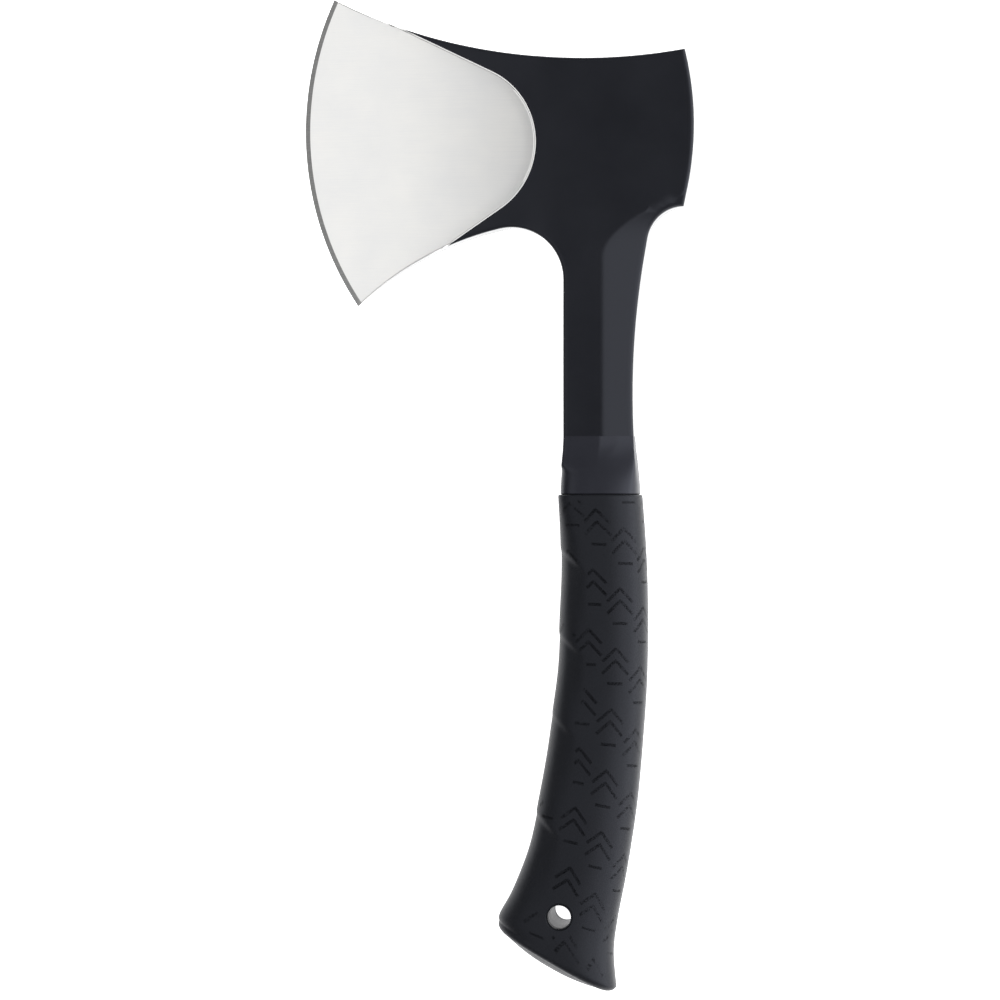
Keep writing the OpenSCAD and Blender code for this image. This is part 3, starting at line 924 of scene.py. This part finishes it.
def bump(tree, shader, *layers):
    """Bump from several (value, height in millimetres) layers, one on another."""
    last = None
    for value, height in layers:
        node = tree.nodes.new("ShaderNodeBump")
        node.inputs["Strength"].default_value = 1
        node.inputs["Distance"].default_value = height * MM
        tree.links.new(value, node.inputs["Height"])
        if last:
            tree.links.new(last, node.inputs["Normal"])
        last = node.outputs["Normal"]
    tree.links.new(last, shader.inputs["Normal"])


COOL = (0.82, 0.86, 1.0)       # tint of the gloss on the black finishes


def coating(name="matte_coating", rough=(0.30, 0.35), ior=1.33):
    mat, tree, shader = new_material(name, IOR=ior, Specular_Tint=COOL)
    clouds = noise(tree, 0.05, 3)
    grain = noise(tree, 1.6, 3)
    fine = noise(tree, 5.0, 2)
    paint(tree, shader, clouds, (0.0054, 0.0058, 0.0078), (0.0070, 0.0075, 0.0098))
    roughen(tree, shader, clouds, *rough)
    bump(tree, shader, (grain, 0.010), (fine, 0.004))
    return mat


def gloss_coating():
    """The same coating on the narrow side walls, where it is smoother."""
    return coating("side_coating", rough=(0.14, 0.2), ior=1.5)


def satin_steel():
    mat, tree, shader = new_material("satin_steel", Metallic=1.0)
    brushed = noise(tree, 1.0, 5, 0.65, (0.03, 7.0, 1.0))
    patches = noise(tree, 0.06, 3)
    both = combined(tree, "ADD", brushed, patches)
    paint(tree, shader, both, (0.72, 0.722, 0.72), (0.785, 0.78, 0.76), 0.7, 1.3)
    roughen(tree, shader, brushed, 0.28, 0.35)
    bump(tree, shader, (brushed, 0.0015))
    return mat


def lip_highlight_steel():
    """The crisp corner round the ground zone, where the coating ends: bare steel, painted lighter than
    the ground face as a highlight.
    """
    mat, tree, shader = new_material("lip_painted_highlight", Metallic=1.0)
    marks = noise(tree, 2.0, 3)
    # painted highlight: a lighter steel colour than the satin ground face
    paint(tree, shader, marks, (0.85, 0.85, 0.84), (0.95, 0.95, 0.94))
    roughen(tree, shader, marks, 0.35, 0.45)
    return mat


def honed_steel():
    mat, tree, shader = new_material("honed_edge", Metallic=1.0)
    marks = noise(tree, 1.0, 4, 0.6, (0.3, 3.0, 1.0))
    paint(tree, shader, marks, (0.36, 0.36, 0.355), (0.47, 0.47, 0.465))
    roughen(tree, shader, marks, 0.42, 0.5)
    bump(tree, shader, (marks, 0.006))
    return mat


def hard_plastic():
    mat, tree, shader = new_material("hard_moulding", IOR=1.36, Specular_Tint=COOL)
    clouds = noise(tree, 0.08, 3)
    fine = noise(tree, 3.0, 3)
    paint(tree, shader, clouds, (0.0100, 0.0103, 0.0142), (0.0122, 0.0126, 0.0170))
    roughen(tree, shader, clouds, 0.34, 0.4)
    bump(tree, shader, (fine, 0.006))
    return mat


def rubber():
    mat, tree, shader = new_material("soft_rubber", IOR=1.31, Specular_Tint=COOL, Sheen_Weight=0.06,
                                     Sheen_Roughness=0.35)
    clouds = noise(tree, 0.06, 4)
    grain = noise(tree, 2.2, 3)
    paint(tree, shader, clouds, (0.0056, 0.0060, 0.0076), (0.0074, 0.0079, 0.0098))
    roughen(tree, shader, grain, 0.42, 0.52)
    bump(tree, shader, (grain, 0.014))
    return mat


def groove_rubber_painted_shade():
    """The same rubber inside the grooves of the tread, rougher, and painted darker as shade in the
    recesses.
    """
    mat, tree, shader = new_material("groove_rubber_painted_shade", IOR=1.3)
    grain = noise(tree, 4.0, 3)
    # painted shade: darker than the rubber outside the grooves
    paint(tree, shader, grain, (0.0030, 0.0033, 0.0042), (0.0045, 0.0050, 0.0062))
    roughen(tree, shader, grain, 0.6, 0.75)
    bump(tree, shader, (grain, 0.01))
    return mat


# ---------- camera ----------

TARGET = Vector((0.35, -2.4, MID_Z)) * MM
TILT = math.radians(7.5)    # from straight above, towards +X
DISTANCE = 0.930            # metres
cam_data = bpy.data.cameras.new("camera")
camera = bpy.data.objects.new("camera", cam_data)
bpy.context.scene.collection.objects.link(camera)
back = Vector((math.sin(TILT), 0, math.cos(TILT)))
up = Vector((0, 1, 0))
right = up.cross(back)
turn = Matrix((right, up, back)).transposed().to_4x4()
camera.matrix_world = Matrix.Translation(TARGET + back * DISTANCE) @ turn
cam_data.sensor_width = 36
cam_data.lens = 110.9
cam_data.clip_start, cam_data.clip_end = 0.05, 100
bpy.context.scene.camera = camera

# ---------- pieces ----------

steels = (coating(), satin_steel(), honed_steel(), lip_highlight_steel(), gloss_coating())
steel = make_steel(steels)
boolean(steel, make_tang("tang", steels), "UNION")
core = make_core((hard_plastic(),))
soft = (rubber(), groove_rubber_painted_shade())
grip = make_grip(soft)
boolean(grip, make_tread(soft, 1))

shade(steel, 28, by_material=True)
shade(core, 35)
shade(grip, 38)

for piece, node, slot in (
    (steel, "steel_body", "coated_steel"),
    (core, "grip_core", "hard_core"),
    (grip, "rubber_grip", "soft_grip"),
):
    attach(piece, "root")
    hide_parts(node)

# ---------- floor and light ----------

FLOOR_HALF = 40000          # half the width of the floor
FLOOR_GLOW = 1.3
# The world's light falls off from the horizon to the zenith. A glow towards +X comes on top, which
# fades out sideways
SKY_HORIZON, SKY_ZENITH, SKY_SPAN = 1.0, 0.3, (0.1, 0.9)
BASE_LEVEL, GLOW, GLOW_SPAN = 0.25, 4.75, (-0.3, 0.95)
WINDOW_LEAST, WINDOW_SPAN = 0.14, (0.1, 0.4)
PANEL_Y, PANEL_Z = 0.1, 1.4     # metres


def make_floor():
    mat, _, shader = new_material("pale_floor", Base_Color=(0.86, 0.86, 0.86), Roughness=0.9)
    shader.inputs["Emission Color"].default_value = (1, 1, 1, 1)
    shader.inputs["Emission Strength"].default_value = FLOOR_GLOW
    corners = [(x * FLOOR_HALF, y * FLOOR_HALF, 0) for x, y in ((-1, -1), (1, -1), (1, 1), (-1, 1))]
    floor = mesh_object("floor", corners, [(0, 1, 2, 3)], [mat])


def make_world():
    world = bpy.data.worlds.new("studio")
    bpy.context.scene.world = world
    world.use_nodes = True
    tree = world.node_tree
    ground = tree.nodes["Background"]
    where = tree.nodes.new("ShaderNodeTexCoord")
    split = tree.nodes.new("ShaderNodeSeparateXYZ")
    tree.links.new(where.outputs["Generated"], split.inputs["Vector"])
    x, y, z = (split.outputs[axis] for axis in "XYZ")
    sky = spread(tree, z, SKY_HORIZON, SKY_ZENITH, *SKY_SPAN)
    window = spread(tree, combined(tree, "MULTIPLY", y, y), 1.0, WINDOW_LEAST, *WINDOW_SPAN, smooth=True)
    glow = combined(tree, "MULTIPLY", spread(tree, x, 0.0, GLOW, *GLOW_SPAN, smooth=True), window)
    level = spread(tree, glow, BASE_LEVEL, BASE_LEVEL + GLOW, 0.0, GLOW)
    tree.links.new(combined(tree, "MULTIPLY", sky, level), ground.inputs["Strength"])
    ground.inputs["Color"].default_value = (1, 1, 1, 1)


def area_light(name, x, size, power):
    """A panel beside the hatchet that shines straight down."""
    data = bpy.data.lights.new(name, "AREA")
    data.shape = "RECTANGLE"
    data.size, data.size_y = size
    data.energy = power
    light = bpy.data.objects.new(name, data)
    light.location = (x, PANEL_Y, PANEL_Z)
    light.rotation_euler = Vector((0, 0, -PANEL_Z)).to_track_quat("-Z", "Y").to_euler()
    bpy.context.scene.collection.objects.link(light)


make_floor()
make_world()
area_light("left_panel", -0.73, (0.90, 2.6), 9.3)
area_light("right_panel", 0.78, (0.95, 2.6), 12.2)
bpy.context.scene.view_settings.view_transform = "Standard"
